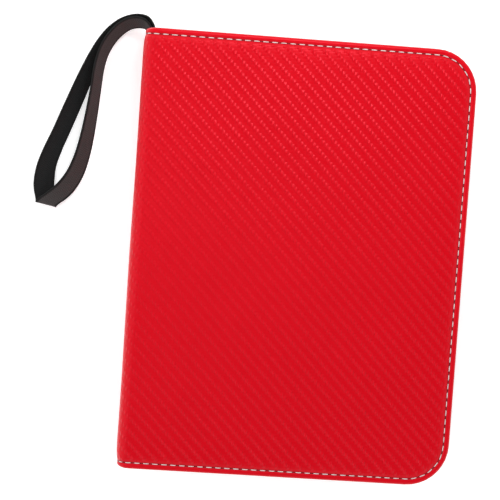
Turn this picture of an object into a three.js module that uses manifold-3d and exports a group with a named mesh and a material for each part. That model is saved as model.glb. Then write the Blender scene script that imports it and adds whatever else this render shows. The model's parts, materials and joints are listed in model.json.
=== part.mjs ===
// A zip-around trading card binder: two padded covers and a spine of leatherette over board, a coil zipper
// round three sides, a three-ring mechanism on the spine, twenty pocket pages and a webbing wrist strap.
// Millimetres, +Z up. The closed binder lies on its back cover: +X runs from the spine to the fore edge,
// +Y from the foot to the head, and the origin is the middle of the footprint.
import * as THREE from "three";
import { mergeVertices } from "three/addons/utils/BufferGeometryUtils.js";
import Module from "manifold-3d";

const wasm = await Module();
wasm.setup();

// Overall sizes
const WIDTH = 190;
const HEIGHT = 250;
const THICK = 38;
const MID = THICK / 2;
const SPINE_X = -WIDTH / 2;
const FORE_X = WIDTH / 2;
const FORE_RADIUS = 24; // the two corners away from the spine
const GAP = 0.1; // between flat layers
const SNUG = 0.3; // between shaped pieces

// Layers of a cover, from its outer face inwards
const SKIN = 0.9;
const PAD = 1.0;
const BOARD = 1.0;
const LINING = 0.4;
const COVER = SKIN + PAD + BOARD + LINING + 3 * GAP; // 3.6
const ROLL = 3.4; // width of the rolled, stitched edge
const PLATE_INSET = ROLL + SNUG;
const CORNER = 6; // outer radius of the soft corner between a cover and the spine
const HINGE_INSET = 1.3; // the crease's axis, in from both outer faces

// Zipper
const WALL_INSET = 6; // middle of the zip tape, in from the covers' outline
const TAPE = 0.8;
const FLANGE_IN = 10.7; // the tape's sewn edge reaches this far in
const COIL_THICK = 2.4;
const COIL_HIGH = 2.0;
const COIL_GAP = 1.2; // the slider's post runs in it
const ZIP_START_X = -83; // the zipper's ends, at head and foot
const SLIDER_X = -74;
const SLIDER_LONG = 11;
const SLIDER_HIGH = 9;
const PULL_LONG = 24;

// Ring mechanism, about the rings' common axis
const RING_RADIUS = 11;
const RING_WIRE = 2.8;
const RING_PITCH = 70;
const RING_SEAT = 15.5; // axis above the spine lining
const RING_X = SPINE_X + COVER + RING_SEAT;
const RINGS = [-1, 0, 1];
const BLADE_LOW = -13.6; // the blades' faces, along X from the rings' axis
const BLADE_TOP = -12.8;
const BLADE_HALF = 7.6;
const BLADE_LONG = 170;
const PLATE_LONG = 180;
const PLATE_HALF = 9;
const PLATE_TOP = -10.3;
const PLATE_METAL = 0.7;
const LEG_ANGLE = 150; // degrees round the ring to where its straight leg starts

// Pages
const LEAVES = 10; // in each of the two blocks
const LEAF = 0.6;
const LEAF_PITCH = 0.9;
const LEAF_WIDE = 150;
const LEAF_TALL = 196;
const LEAF_EDGE = 6; // hole's centre to the bound edge
const SAG = 2.2; // degrees the stack leans, to rest its fore edge on the back lining

// Wrist strap
const WEB_WIDE = 12.6;
const WEB_THICK = 1.2;

const look = (color, roughness, metalness = 0) => new THREE.MeshStandardMaterial({ color, roughness, metalness });
const LEATHERETTE = look(0xdc0f28, 0.42);
const FOAM = look(0x2b2b2d, 0.95);
const CARDBOARD = look(0x4a4640, 0.9);
const BLACK_FABRIC = look(0x17171a, 0.9);
const COIL_NYLON = look(0x121214, 0.5);
const METAL = look(0xc8c9cc, 0.25, 1);
const SLIDER_METAL = look(0x2a2a2c, 0.35, 1);
const CLEAR_FILM = look(0xe4eaf0, 0.2);
const WEBBING = look(0x3a3638, 0.85);

const binder = new THREE.Group();

function add(name, geometry, material, parent = binder) {
  const mesh = new THREE.Mesh(geometry, material);
  mesh.name = name;
  parent.add(mesh);
  return mesh;
}

// The outline of a cover's face, drawn in from its outer edge by inset, from x = left to the fore edge.
function coverShape(inset, left) {
  const right = FORE_X - inset;
  const high = HEIGHT / 2 - inset;
  const radius = FORE_RADIUS - inset;
  const shape = new THREE.Shape();
  shape.moveTo(left, -high);
  shape.lineTo(right - radius, -high);
  shape.absarc(right - radius, -high + radius, radius, -Math.PI / 2, 0, false);
  shape.lineTo(right, high - radius);
  shape.absarc(right - radius, high - radius, radius, 0, Math.PI / 2, false);
  shape.lineTo(left, high);
  shape.closePath();
  return shape;
}

// A band that follows the same outline on three sides, between two insets, open towards the spine.
function bandShape(outer, inner, left) {
  const half = HEIGHT / 2;
  const shape = new THREE.Shape();
  const arc = (inset, from, to, back) => {
    const r = FORE_RADIUS - inset;
    const y = (half - FORE_RADIUS) * (from < 0 || (from === 0 && back) ? -1 : 1);
    shape.absarc(FORE_X - FORE_RADIUS, y, r, from, to, back);
  };
  shape.moveTo(left, -(half - outer));
  arc(outer, -Math.PI / 2, 0, false);
  arc(outer, 0, Math.PI / 2, false);
  shape.lineTo(left, half - outer);
  shape.lineTo(left, half - inner);
  arc(inner, Math.PI / 2, 0, true);
  arc(inner, 0, -Math.PI / 2, true);
  shape.lineTo(left, -(half - inner));
  shape.closePath();
  return shape;
}

// A flat plate of that outline, from z = low upwards.
function plate(shape, low, thickness, curveSegments = 8) {
  const made = new THREE.ExtrudeGeometry(shape, { depth: thickness, bevelEnabled: false, curveSegments });
  return made.translate(0, 0, low);
}

function box(sizeX, sizeY, sizeZ, x, y, z) {
  return new THREE.BoxGeometry(sizeX, sizeY, sizeZ).translate(x, y, z);
}

// A profile drawn in X and Z, extruded along Y about the middle.
function alongY(shape, long, curveSegments = 8) {
  const made = new THREE.ExtrudeGeometry(shape, { depth: long, bevelEnabled: false, curveSegments });
  return made.rotateX(Math.PI / 2).translate(0, long / 2, 0);
}

function toSolid(geometry) {
  const bare = geometry.index ? geometry.toNonIndexed() : geometry.clone();
  bare.deleteAttribute("normal");
  bare.deleteAttribute("uv");
  const merged = mergeVertices(bare, 1e-4);
  return new wasm.Manifold(
    new wasm.Mesh({
      numProp: 3,
      vertProperties: merged.attributes.position.array,
      triVerts: new Uint32Array(merged.index.array),
    }),
  );
}

function toGeometry(solid) {
  const mesh = solid.getMesh();
  const made = new THREE.BufferGeometry();
  made.setAttribute("position", new THREE.BufferAttribute(mesh.vertProperties, 3));
  made.setIndex(new THREE.BufferAttribute(mesh.triVerts, 1));
  made.computeVertexNormals();
  return made;
}

const joined = (first, ...rest) => toGeometry(rest.reduce((all, g) => all.add(toSolid(g)), toSolid(first)));
const cut = (first, ...rest) => toGeometry(rest.reduce((all, g) => all.subtract(toSolid(g)), toSolid(first)));

// Covers. Each layer is given for the back cover; the front cover is its mirror about mid height.
function coverLayers(side) {
  const left = SPINE_X + CORNER;
  const mirrored = side === "front";
  const at = (low, thickness) => (mirrored ? THICK - low - thickness : low);
  const layer = (name, inset, low, thickness, material) =>
    add(`${side}_${name}`, plate(coverShape(inset, left), at(low, thickness), thickness), material);

  const padLow = SKIN + GAP;
  const boardLow = padLow + PAD + GAP;
  const liningLow = boardLow + BOARD + GAP;
  layer("skin", PLATE_INSET, 0, SKIN, LEATHERETTE);
  layer("pad", PLATE_INSET, padLow, PAD, FOAM);
  layer("board", PLATE_INSET, boardLow, BOARD, CARDBOARD);
  layer("lining", FLANGE_IN + SNUG, liningLow, LINING, BLACK_FABRIC);
  add(`${side}_edge_roll`, plate(bandShape(0, ROLL, left), at(0, COVER), COVER, 12), LEATHERETTE);

  // Half the zipper: a sewn flange, the tape standing on it, and the coil along the tape's free edge.
  const wallLow = liningLow;
  const wallHigh = MID - COIL_GAP / 2 - COIL_HIGH - GAP;
  const flange = plate(bandShape(PLATE_INSET, FLANGE_IN, ZIP_START_X), at(wallLow, LINING), LINING);
  const wallBand = bandShape(WALL_INSET - TAPE / 2, WALL_INSET + TAPE / 2, ZIP_START_X);
  const wall = plate(wallBand, at(wallLow, wallHigh - wallLow), wallHigh - wallLow);
  add(`${side}_zip_tape`, joined(flange, wall), BLACK_FABRIC);
  const coilBand = bandShape(WALL_INSET - COIL_THICK / 2, WALL_INSET + COIL_THICK / 2, ZIP_START_X + 2);
  add(`${side}_zip_coil`, plate(coilBand, at(wallHigh + GAP, COIL_HIGH), COIL_HIGH), COIL_NYLON);
}

// The end stops: small metal clips pinched over each tape at the zipper's two ends.
function zipStop(name, low, high, y) {
  const block = box(1.4, COIL_THICK + 0.8, high - low, ZIP_START_X + 0.8, y, (low + high) / 2);
  return add(name, block, METAL);
}

// The slider: two plates either side of the coils, joined by a thin post that parts them, with two lugs
// and a pin on its outer plate for the pull.
function zipSlider() {
  const y = -(HEIGHT / 2 - WALL_INSET);
  const plateY = COIL_THICK / 2 + SNUG + 0.4;
  const outerY = y - plateY;
  const innerY = y + plateY;
  const pinY = outerY - 1.9;
  const lug = (side) => box(2.4, 3, 0.7, SLIDER_X, outerY - 1.5, MID + side * 3.4);
  const pin = new THREE.CylinderGeometry(0.55, 0.55, 7, 12).rotateX(Math.PI / 2).translate(SLIDER_X, pinY, MID);
  const parts = [
    box(SLIDER_LONG, 0.8, SLIDER_HIGH, SLIDER_X, outerY, MID),
    box(SLIDER_LONG, 0.8, SLIDER_HIGH, SLIDER_X, innerY, MID),
    box(3, 2 * plateY, 0.6, SLIDER_X - SLIDER_LONG / 2 + 1.5, y, MID),
    lug(-1),
    lug(1),
    pin,
  ];
  add("zip_slider", joined(...parts), SLIDER_METAL);

  const eye = new THREE.CylinderGeometry(1.2, 1.2, 5.6, 16).rotateX(Math.PI / 2).translate(SLIDER_X, pinY, MID);
  const tab = box(PULL_LONG, 1.0, 5.6, SLIDER_X + PULL_LONG / 2 + 1, pinY, MID);
  const bore = new THREE.CylinderGeometry(0.85, 0.85, 8, 16).rotateX(Math.PI / 2).translate(SLIDER_X, pinY, MID);
  add("zip_pull", toGeometry(toSolid(eye).add(toSolid(tab)).subtract(toSolid(bore))), SLIDER_METAL);
}

// The spine panel and the two soft creases that join it to the covers.
function spine() {
  const high = THICK - 2 * (CORNER + SNUG);
  const layer = (name, depth, thickness, tall, material) =>
    add(name, box(thickness, tall, high, SPINE_X + depth + thickness / 2, 0, MID), material);
  const boardThick = COVER - SKIN - LINING - 2 * GAP;
  layer("spine_skin", 0, SKIN, HEIGHT, LEATHERETTE);
  layer("spine_board", SKIN + GAP, boardThick, HEIGHT - 2 * PLATE_INSET, CARDBOARD);
  layer("spine_lining", COVER - LINING, LINING, HEIGHT - 2 * PLATE_INSET, BLACK_FABRIC);

  for (const side of ["front", "back"]) {
    const turn = side === "front" ? 1 : -1;
    const centreX = SPINE_X + CORNER;
    const centreZ = MID + turn * (MID - CORNER);
    const near = Math.asin(0.6 / CORNER); // leaves room for the cover's edge to turn
    const from = turn * Math.PI;
    const to = turn * (Math.PI / 2 + near);
    const outline = new THREE.Shape();
    outline.absarc(0, 0, CORNER, from, to, turn > 0);
    outline.absarc(0, 0, CORNER - SKIN, to, from, turn < 0);
    outline.closePath();
    const strip = alongY(outline, HEIGHT, 8).translate(centreX, 0, centreZ);
    add(`${side}_crease`, strip, LEATHERETTE);
  }
}

// One half ring: an arc in the XZ plane from its tip to a straight leg that ends on the blade.
class HalfRing extends THREE.Curve {
  constructor(side) {
    super();
    this.side = side;
    this.leg = THREE.MathUtils.degToRad(LEG_ANGLE);
    this.tip = 0.02;
    this.legLength = RING_RADIUS * Math.cos(Math.PI - this.leg) + BLADE_TOP + GAP;
  }
  getPoint(t, target = new THREE.Vector3()) {
    const share = 0.85; // of the curve that is arc
    if (t < share) {
      const angle = this.tip + (this.leg - this.tip) * (t / share);
      return target.set(RING_RADIUS * Math.cos(angle), 0, this.side * RING_RADIUS * Math.sin(angle));
    }
    const x = -RING_RADIUS * Math.cos(Math.PI - this.leg);
    const along = (t - share) / (1 - share);
    return target.set(x + (BLADE_TOP + GAP - x) * along, 0, this.side * RING_RADIUS * Math.sin(this.leg));
  }
}

function ringMechanism() {
  const mechanism = new THREE.Group();
  mechanism.position.set(RING_X, 0, MID);
  binder.add(mechanism);

  const wire = new THREE.Shape();
  wire.absarc(0, 0, RING_WIRE / 2, 0, 2 * Math.PI, false);
  for (const [half, side] of [["lower", -1], ["upper", 1]]) {
    const blade = box(BLADE_TOP - BLADE_LOW, BLADE_LONG, BLADE_HALF - 0.4, 0, 0, 0);
    blade.translate((BLADE_LOW + BLADE_TOP) / 2, 0, side * (BLADE_HALF + 0.4) / 2);
    add(`${half}_ring_blade`, blade, METAL, mechanism);
    RINGS.forEach((place, i) => {
      const options = { extrudePath: new HalfRing(side), steps: 26, curveSegments: 6, bevelEnabled: false };
      const ring = new THREE.ExtrudeGeometry(wire, options).translate(0, place * RING_PITCH, 0);
      add(`${half}_half_ring_${i + 1}`, ring, METAL, mechanism);
    });
  }

  // The arched plate over the blades, with a notch where each leg comes through.
  const seat = -RING_SEAT + GAP;
  const arch = new THREE.Shape();
  arch.moveTo(seat, -PLATE_HALF);
  arch.lineTo(BLADE_TOP, -PLATE_HALF + 0.4);
  arch.quadraticCurveTo(PLATE_TOP, -PLATE_HALF + 1, PLATE_TOP, 0);
  arch.quadraticCurveTo(PLATE_TOP, PLATE_HALF - 1, BLADE_TOP, PLATE_HALF - 0.4);
  arch.lineTo(seat, PLATE_HALF);
  arch.lineTo(seat, PLATE_HALF - PLATE_METAL);
  arch.lineTo(BLADE_TOP - 0.2, PLATE_HALF - PLATE_METAL - 0.4);
  arch.quadraticCurveTo(PLATE_TOP - PLATE_METAL, PLATE_HALF - 2, PLATE_TOP - PLATE_METAL, 0);
  arch.quadraticCurveTo(PLATE_TOP - PLATE_METAL, -PLATE_HALF + 2, BLADE_TOP - 0.2, -PLATE_HALF + PLATE_METAL + 0.4);
  arch.lineTo(seat, -PLATE_HALF + PLATE_METAL);
  arch.closePath();
  const legZ = RING_RADIUS * Math.sin(THREE.MathUtils.degToRad(LEG_ANGLE));
  const notches = RINGS.flatMap((place) => [-1, 1].map((side) => box(5, 4, 6, -11.4, place * RING_PITCH, side * (legZ + 0.9))));
  const ends = [-1, 1].map((end) => box(4, 8, 11, -10, end * PLATE_LONG / 2, 0));
  add("ring_cover_plate", cut(alongY(arch, PLATE_LONG, 6), ...notches, ...ends), METAL, mechanism);

  // A domed rivet at each end holds the plate to the spine board.
  for (const [end, side] of [["foot", -1], ["head", 1]]) {
    const profile = [[0, 0], [2.6, 0], [2.6, 0.3], [1.8, 0.8], [0, 1]].map(([r, h]) => new THREE.Vector2(r, h));
    const rivet = new THREE.LatheGeometry(profile, 16).rotateZ(-Math.PI / 2);
    add(`ring_rivet_${end}`, rivet.translate(PLATE_TOP + GAP, side * 78, 0), METAL, mechanism);

    const lever = new THREE.Shape();
    const y = side * (PLATE_LONG / 2 - 2);
    lever.moveTo(-12.2, y);
    lever.lineTo(-10.4, y);
    lever.lineTo(-10, y + side * 10);
    lever.quadraticCurveTo(-9.6, y + side * 13, -5.6, y + side * 17);
    lever.lineTo(-6.6, y + side * 18);
    lever.quadraticCurveTo(-11.4, y + side * 14, -12.2, y + side * 8);
    lever.closePath();
    const tab = new THREE.ExtrudeGeometry(lever, { depth: 9, bevelEnabled: false, curveSegments: 6 });
    add(`ring_lever_${end}`, tab.translate(0, 0, -4.5), METAL, mechanism);
  }
}

// One pocket page: a leaf with three holes near its bound edge, at height z above the rings' axis.
function leaf(z) {
  const hole = Math.sqrt(RING_RADIUS ** 2 - z ** 2);
  const left = hole - LEAF_EDGE;
  const shape = new THREE.Shape();
  shape.moveTo(left, -LEAF_TALL / 2);
  shape.lineTo(left + LEAF_WIDE, -LEAF_TALL / 2);
  shape.lineTo(left + LEAF_WIDE, LEAF_TALL / 2);
  shape.lineTo(left, LEAF_TALL / 2);
  shape.closePath();
  // Each hole is a slot, so that the stiff leaf clears the half ring as it swings open.
  for (const place of RINGS) {
    const slot = new THREE.Path();
    const half = 2.75;
    slot.absarc(hole + 3.6, place * RING_PITCH, half, -Math.PI / 2, Math.PI / 2, false);
    slot.absarc(hole - 0.6, place * RING_PITCH, half, Math.PI / 2, (3 * Math.PI) / 2, false);
    slot.closePath();
    shape.holes.push(slot);
  }
  return plate(shape, z - LEAF / 2, LEAF, 4);
}

function pages() {
  const stack = new THREE.Group();
  stack.position.set(RING_X, 0, MID);
  stack.rotation.y = THREE.MathUtils.degToRad(SAG);
  binder.add(stack);
  for (let i = 0; i < 2 * LEAVES; i += 1) {
    const z = (i - LEAVES + 0.5) * LEAF_PITCH;
    add(`page_${String(i + 1).padStart(2, "0")}`, leaf(z), CLEAR_FILM, stack);
  }
}

// The wrist strap's route, from where both plies leave the binder, round the loop and back. Each row is a
// point on the webbing's middle line and the way from there to its upper edge.
const STRAP_ROUTE = [
  [[-93.6, 126.9, 12], [0.16, 0.16, 0.97]],
  [[-96.6, 128.6, 11.8], [0.18, 0.34, 0.92]],
  [[-100.6, 129, 11.3], [0.08, 0.47, 0.88]],
  [[-105, 127.8, 10.6], [-0.12, 0.47, 0.87]],
  [[-109.3, 124.8, 9.8], [-0.28, 0.4, 0.87]],
  [[-113.2, 120.5, 9], [-0.37, 0.3, 0.88]],
  [[-116.5, 115.1, 8.2], [-0.42, 0.2, 0.89]],
  [[-118.8, 109, 7.8], [-0.43, 0.11, 0.9]],
  [[-120.4, 101.2, 7.4], [-0.43, 0.04, 0.9]],
  [[-121.4, 90, 7], [-0.44, 0, 0.9]],
  [[-122.7, 77, 6.8], [-0.5, 0, 0.87]],
  [[-124.6, 62, 6.6], [-0.58, 0.02, 0.81]],
  [[-126.9, 50, 6.4], [-0.66, 0.07, 0.75]],
  [[-130.3, 39.6, 6.2], [-0.74, 0.16, 0.65]],
  [[-135.2, 31.4, 6.1], [-0.82, 0.25, 0.51]],
  [[-140.5, 26, 5.9], [-0.92, 0.24, 0.3]],
  [[-143.9, 23.3, 5.3], [-0.97, 0.2, 0.12]],
  [[-145.6, 21.6, 4.3], [-0.98, 0.18, 0.05]],
  [[-146, 21, 3], [-0.98, 0.18, 0]],
  [[-146.1, 21.7, 1.9], [-0.98, 0.18, 0]],
  [[-146.5, 24, 1.3], [-0.98, 0.17, 0.04]],
  [[-147.5, 28.2, 1.9], [-0.97, 0.15, 0.16]],
  [[-147.9, 34.2, 3], [-0.93, 0.13, 0.34]],
  [[-146.9, 43.5, 4.3], [-0.82, 0.14, 0.55]],
  [[-143.8, 53.3, 5.1], [-0.75, 0.17, 0.64]],
  [[-139.8, 63.5, 5.5], [-0.7, 0.2, 0.69]],
  [[-135.2, 76, 5.7], [-0.68, 0.22, 0.7]],
  [[-130.6, 88.5, 6], [-0.64, 0.22, 0.73]],
  [[-126.4, 100, 6.5], [-0.55, 0.22, 0.8]],
  [[-122.4, 110.2, 7], [-0.42, 0.22, 0.88]],
  [[-118.6, 117.8, 7.3], [-0.3, 0.26, 0.92]],
  [[-113.8, 124.1, 7.9], [-0.21, 0.3, 0.93]],
  [[-108, 128.8, 8.8], [-0.09, 0.32, 0.94]],
  [[-101.4, 131, 9.9], [0.06, 0.36, 0.93]],
  [[-95.7, 130.6, 11.3], [0.18, 0.32, 0.93]],
  [[-92.2, 128.3, 12], [0.16, 0.16, 0.97]],
];

// A flat strip of webbing along such a route.
function webbing(route, steps, thickness) {
  const line = new THREE.CatmullRomCurve3(route.map(([p]) => new THREE.Vector3(...p)), false, "centripetal");
  const corners = [];
  for (let i = 0; i <= steps; i += 1) {
    const place = (i / steps) * (route.length - 1);
    const k = Math.min(Math.floor(place), route.length - 2);
    const across = new THREE.Vector3(...route[k][1]).lerp(new THREE.Vector3(...route[k + 1][1]), place - k);
    across.normalize();
    const middle = line.getPoint(i / steps);
    const normal = new THREE.Vector3().crossVectors(line.getTangent(i / steps), across).normalize();
    for (const [a, n] of [[1, 1], [1, -1], [-1, -1], [-1, 1]]) {
      const corner = middle.clone().addScaledVector(across, (a * WEB_WIDE) / 2);
      corners.push(corner.addScaledVector(normal, (n * thickness) / 2));
    }
  }
  const faces = [0, 1, 2, 0, 2, 3];
  for (let i = 0; i < steps; i += 1) {
    for (let k = 0; k < 4; k += 1) {
      const [a, b] = [4 * i + k, 4 * i + ((k + 1) % 4)];
      faces.push(a, b + 4, b, a, a + 4, b + 4);
    }
  }
  const end = 4 * steps;
  faces.push(end, end + 2, end + 1, end, end + 3, end + 2);
  const made = new THREE.BufferGeometry().setFromPoints(corners);
  made.setIndex(faces);
  made.computeVertexNormals();
  return made;
}

// Both plies of the strap inside the binder, sewn together as one doubled strip.
const STRAP_ROOT = [
  [[-85.4, 116.4, 12.4], [0, 0, 1]],
  [[-87.6, 119.8, 12.4], [0, 0, 1]],
  [[-90, 123.4, 12.4], [0.08, 0.08, 0.99]],
  [[-92.2, 126.4, 12.2], [0.16, 0.16, 0.97]],
];

function wristStrap() {
  add("strap_loop", webbing(STRAP_ROUTE, 64, WEB_THICK), WEBBING);
  add("strap_root", webbing(STRAP_ROOT, 6, 2 * WEB_THICK), WEBBING);
}

coverLayers("back");
coverLayers("front");
const headY = HEIGHT / 2 - WALL_INSET;
const coilEdge = COIL_GAP / 2 + COIL_HIGH;
zipStop("zip_stop_back", MID - coilEdge, MID - COIL_GAP / 2, headY);
zipStop("zip_stop_front", MID + COIL_GAP / 2, MID + coilEdge, headY);
zipSlider();
spine();
ringMechanism();
pages();
wristStrap();

export default binder;
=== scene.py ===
"""The looks of a red zip-around trading card binder, built around its solids. Metres, +Z up.

The closed binder lies on its back cover: +X runs from the spine to the fore edge and +Y to the head.
Most shapes are worked out in millimetres, and are scaled when their mesh is made.
"""

import json
import math

import bmesh
import bpy
from mathutils import Matrix, Vector


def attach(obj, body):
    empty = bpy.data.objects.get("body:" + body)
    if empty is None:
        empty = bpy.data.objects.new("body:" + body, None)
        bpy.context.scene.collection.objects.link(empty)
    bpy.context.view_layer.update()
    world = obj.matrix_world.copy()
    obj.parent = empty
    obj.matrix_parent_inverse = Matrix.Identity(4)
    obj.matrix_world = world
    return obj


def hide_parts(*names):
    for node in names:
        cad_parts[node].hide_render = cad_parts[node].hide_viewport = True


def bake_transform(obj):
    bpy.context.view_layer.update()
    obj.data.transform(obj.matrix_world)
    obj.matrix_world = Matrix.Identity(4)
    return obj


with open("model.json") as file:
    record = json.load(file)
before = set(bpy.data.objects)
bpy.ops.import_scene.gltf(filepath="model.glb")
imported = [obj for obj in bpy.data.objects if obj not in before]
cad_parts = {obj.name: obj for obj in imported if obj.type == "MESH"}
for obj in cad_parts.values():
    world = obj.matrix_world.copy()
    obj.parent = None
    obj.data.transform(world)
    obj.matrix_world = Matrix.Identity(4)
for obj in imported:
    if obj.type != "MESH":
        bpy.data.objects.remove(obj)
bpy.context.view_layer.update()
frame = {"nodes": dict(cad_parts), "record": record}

MM = 0.001

# Sizes shared with the solids, in millimetres
HALF_TALL = 125.0
FORE_X = 95.0
THICK = 38.0
MID = THICK / 2
CORNER = 6.0  # outer radius of the crease between a cover and the spine
COVER_LEFT = -FORE_X + CORNER
FLAT_SPINE = MID - CORNER  # from mid thickness to where a crease starts
CREASE_LONG = CORNER * math.pi / 2
TOP_START = FLAT_SPINE + CREASE_LONG
SHEET_LONG = TOP_START + FORE_X - COVER_LEFT  # from the spine's middle to the fore edge, over the skin
FORE_RADIUS = 24.0

# Sizes of the sewing, in millimetres
STITCH_INSET = 3.5
STITCH_PITCH = 5.15
STITCH_LONG = 3.6
STITCH_SUNK = 0.82  # the thread lies this far below the cover's face, in its groove
NEEDLE_HOLE_AT = 2.0  # from the middle of a stitch

# Sizes of the rings and pages, in millimetres
RING_X = -75.9
RING_RADIUS = 11.0
RING_PITCH = 70.0
PAGE_LEFT = -6.0  # a page's inner edge, measured from its holes
PAGE_WIDE = 150.0
PAGE_TALL = 196.0
SLOT_WIDE = 8.6  # the punched holes are slots, so that a page can shift as the rings part
SLOT_TALL = 6.0
WELDS_X = [-5.1, 14.5, 79.0, 142.8]  # across a page from its holes
WELDS_Y = [-96.8, 0.0, 96.8]

# The spine's two ends round off, in millimetres
ROUND_FROM = 122.2  # from the spine's middle to where it starts
ROUND_DEPTH = 2.4
ROUND_REACH = 9.0  # how far it fades out over a cover
ROUND_GONE_X = -84.0


# Meshes


def make_mesh(name, points, faces, uvs=None, attributes=None):
    """An object from points in millimetres. uvs holds one pair for each point, also in millimetres."""
    data = bpy.data.meshes.new(name)
    data.from_pydata([tuple(c * MM for c in p) for p in points], [], faces)
    data.update()
    if uvs:
        layer = data.uv_layers.new(name="UVMap")
        for loop in data.loops:
            u, v = uvs[loop.vertex_index]
            layer.data[loop.index].uv = (u * MM, v * MM)
    for key, values in (attributes or {}).items():
        data.attributes.new(key, "FLOAT", "POINT").data.foreach_set("value", values)
    data.polygons.foreach_set("use_smooth", [True] * len(data.polygons))
    made = bpy.data.objects.new(name, data)
    bpy.context.scene.collection.objects.link(made)
    return made


def strip_faces(rows, across, closed=False):
    """Quads between rows of points, each row holding the same number of points."""
    faces = []
    for r in range(rows - 1):
        for i in range(across - 1 + closed):
            a, b = r * across + i, r * across + (i + 1) % across
            faces.append((a, b, b + across, a + across))
    return faces


def tube(path, radii, sides=8):
    """Points and faces of a closed tube along a path. radii holds (radius across, radius up)."""
    points = []
    count = len(path)
    for i, p in enumerate(path):
        ahead = Vector(path[min(i + 1, count - 1)]) - Vector(path[max(i - 1, 0)])
        ahead.normalize()
        up = Vector((0, 0, 1)) if abs(ahead.z) < 0.9 else Vector((0, 1, 0))
        side = ahead.cross(up).normalized()
        up = side.cross(ahead).normalized()
        wide, high = radii[i]
        for k in range(sides):
            a = 2 * math.pi * k / sides
            out = side * (wide * math.cos(a))
            points.append(tuple(Vector(p) + out + up * (high * math.sin(a))))
    faces = strip_faces(count, sides, closed=True)
    faces.append(tuple(range(sides - 1, -1, -1)))
    faces.append(tuple(range((count - 1) * sides, count * sides)))
    return points, faces


class Batch:
    """Many small closed shapes gathered into one mesh."""

    def __init__(self):
        self.points, self.faces, self.slots = [], [], []

    def add(self, points, faces, slot=0):
        base = len(self.points)
        self.points += points
        self.faces += [tuple(i + base for i in f) for f in faces]
        self.slots += [slot] * len(faces)

    def build(self, name, *materials):
        made = make_mesh(name, self.points, self.faces)
        for material in materials:
            made.data.materials.append(material)
        made.data.polygons.foreach_set("material_index", self.slots)
        return made


# Each cover's skin is one sheet from the spine's middle line over the cover. A place on it is s, the
# distance from that line over the skin, y along the spine, and h, how far it stands out from the solid.


def on_sheet(side, s, y, h):
    """The point at a place on the sheet of one side, front or back."""
    if s < FLAT_SPINE:
        x, z = -FORE_X - h, MID + s
    elif s < TOP_START:
        a = (s - FLAT_SPINE) / CORNER
        x = COVER_LEFT - (CORNER + h) * math.cos(a)
        z = THICK - CORNER + (CORNER + h) * math.sin(a)
    else:
        x, z = COVER_LEFT + s - TOP_START, THICK + h
    end = max(0.0, (abs(y) - ROUND_FROM) / (HALF_TALL - ROUND_FROM))
    near_spine = min(1.0, max(0.0, (ROUND_GONE_X - x) / ROUND_REACH))
    x += ROUND_DEPTH * near_spine * (1 - math.sqrt(max(0.0, 1 - min(end, 1.0) ** 2)))
    return (x, y, z if side == "front" else THICK - z)


ALONG_STEPS = 44
CORNER_STEPS = 9
FORE_STEPS = 40
CREASE_STEPS = 10


def ring_line(inset, start=0.0):
    """Points (s, y) round the sheet's foot, fore edge and head, inset from its edge, open at the spine."""
    tall = HALF_TALL - inset
    right = SHEET_LONG - inset
    radius = min(max(FORE_RADIUS - inset, 3.0), tall)
    end = right - radius
    fixed = [start + (FLAT_SPINE - start) * t for t in (0, 0.5, 0.9)] if start < FLAT_SPINE else []
    if start < TOP_START:
        fixed += [FLAT_SPINE + CREASE_LONG * k / CREASE_STEPS for k in range(CREASE_STEPS + 1)]
        fixed += [TOP_START + 1.5]
    else:
        fixed += [start]
    last = fixed[-1]
    straight = fixed + [last + (end - last) * (k + 1) / ALONG_STEPS for k in range(ALONG_STEPS)]
    line = [(s, -tall) for s in straight]
    arc = [math.pi / 2 * (k + 1) / CORNER_STEPS for k in range(CORNER_STEPS)]
    line += [(end + radius * math.sin(a), -tall + radius - radius * math.cos(a)) for a in arc]
    rises = [(tall - radius) * 2 * (k + 1) / FORE_STEPS for k in range(FORE_STEPS - 1)]
    line += [(right, -tall + radius + rise) for rise in rises]
    line += [(end + radius * math.cos(a), tall - radius + radius * math.sin(a)) for a in [0.0] + arc]
    return line + [(s, tall) for s in reversed(straight[:-1])]


def lumps(s, y):
    """Slow unevenness of padded leatherette, up to about 0.2 mm."""
    near = 0.1 * math.sin(s / 13 + 0.7 * math.sin(y / 23)) * math.cos(y / 19 + 0.6)
    return near + 0.08 * math.sin(s / 31 - y / 27 + 1.3)


# The rolled edge from its inner side over the top to the stitched groove, then the padded face: (inset, h).
EDGE_SECTION = [
    (4.4, -3.62), (2.6, -3.62), (1.4, -3.5), (0.6, -3.1), (0.15, -2.5), (0.0, -1.85), (0.15, -1.25),
    (0.55, -0.78), (1.1, -0.5), (1.8, -0.38), (2.4, -0.45), (2.9, -0.62), (3.25, -0.85), (3.55, -0.93),
    (3.85, -0.86), (4.3, -0.62), (5.0, -0.32), (6.0, -0.1), (7.5, 0.08), (9.5, 0.2), (12, 0.28), (15, 0.32),
]
PAD_FACE = 0.34
EDGE_SECTION += [(inset, PAD_FACE) for inset in (19, 24, 30, 37, 45, 54, 64, 76, 90, 106, 125)]


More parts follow.
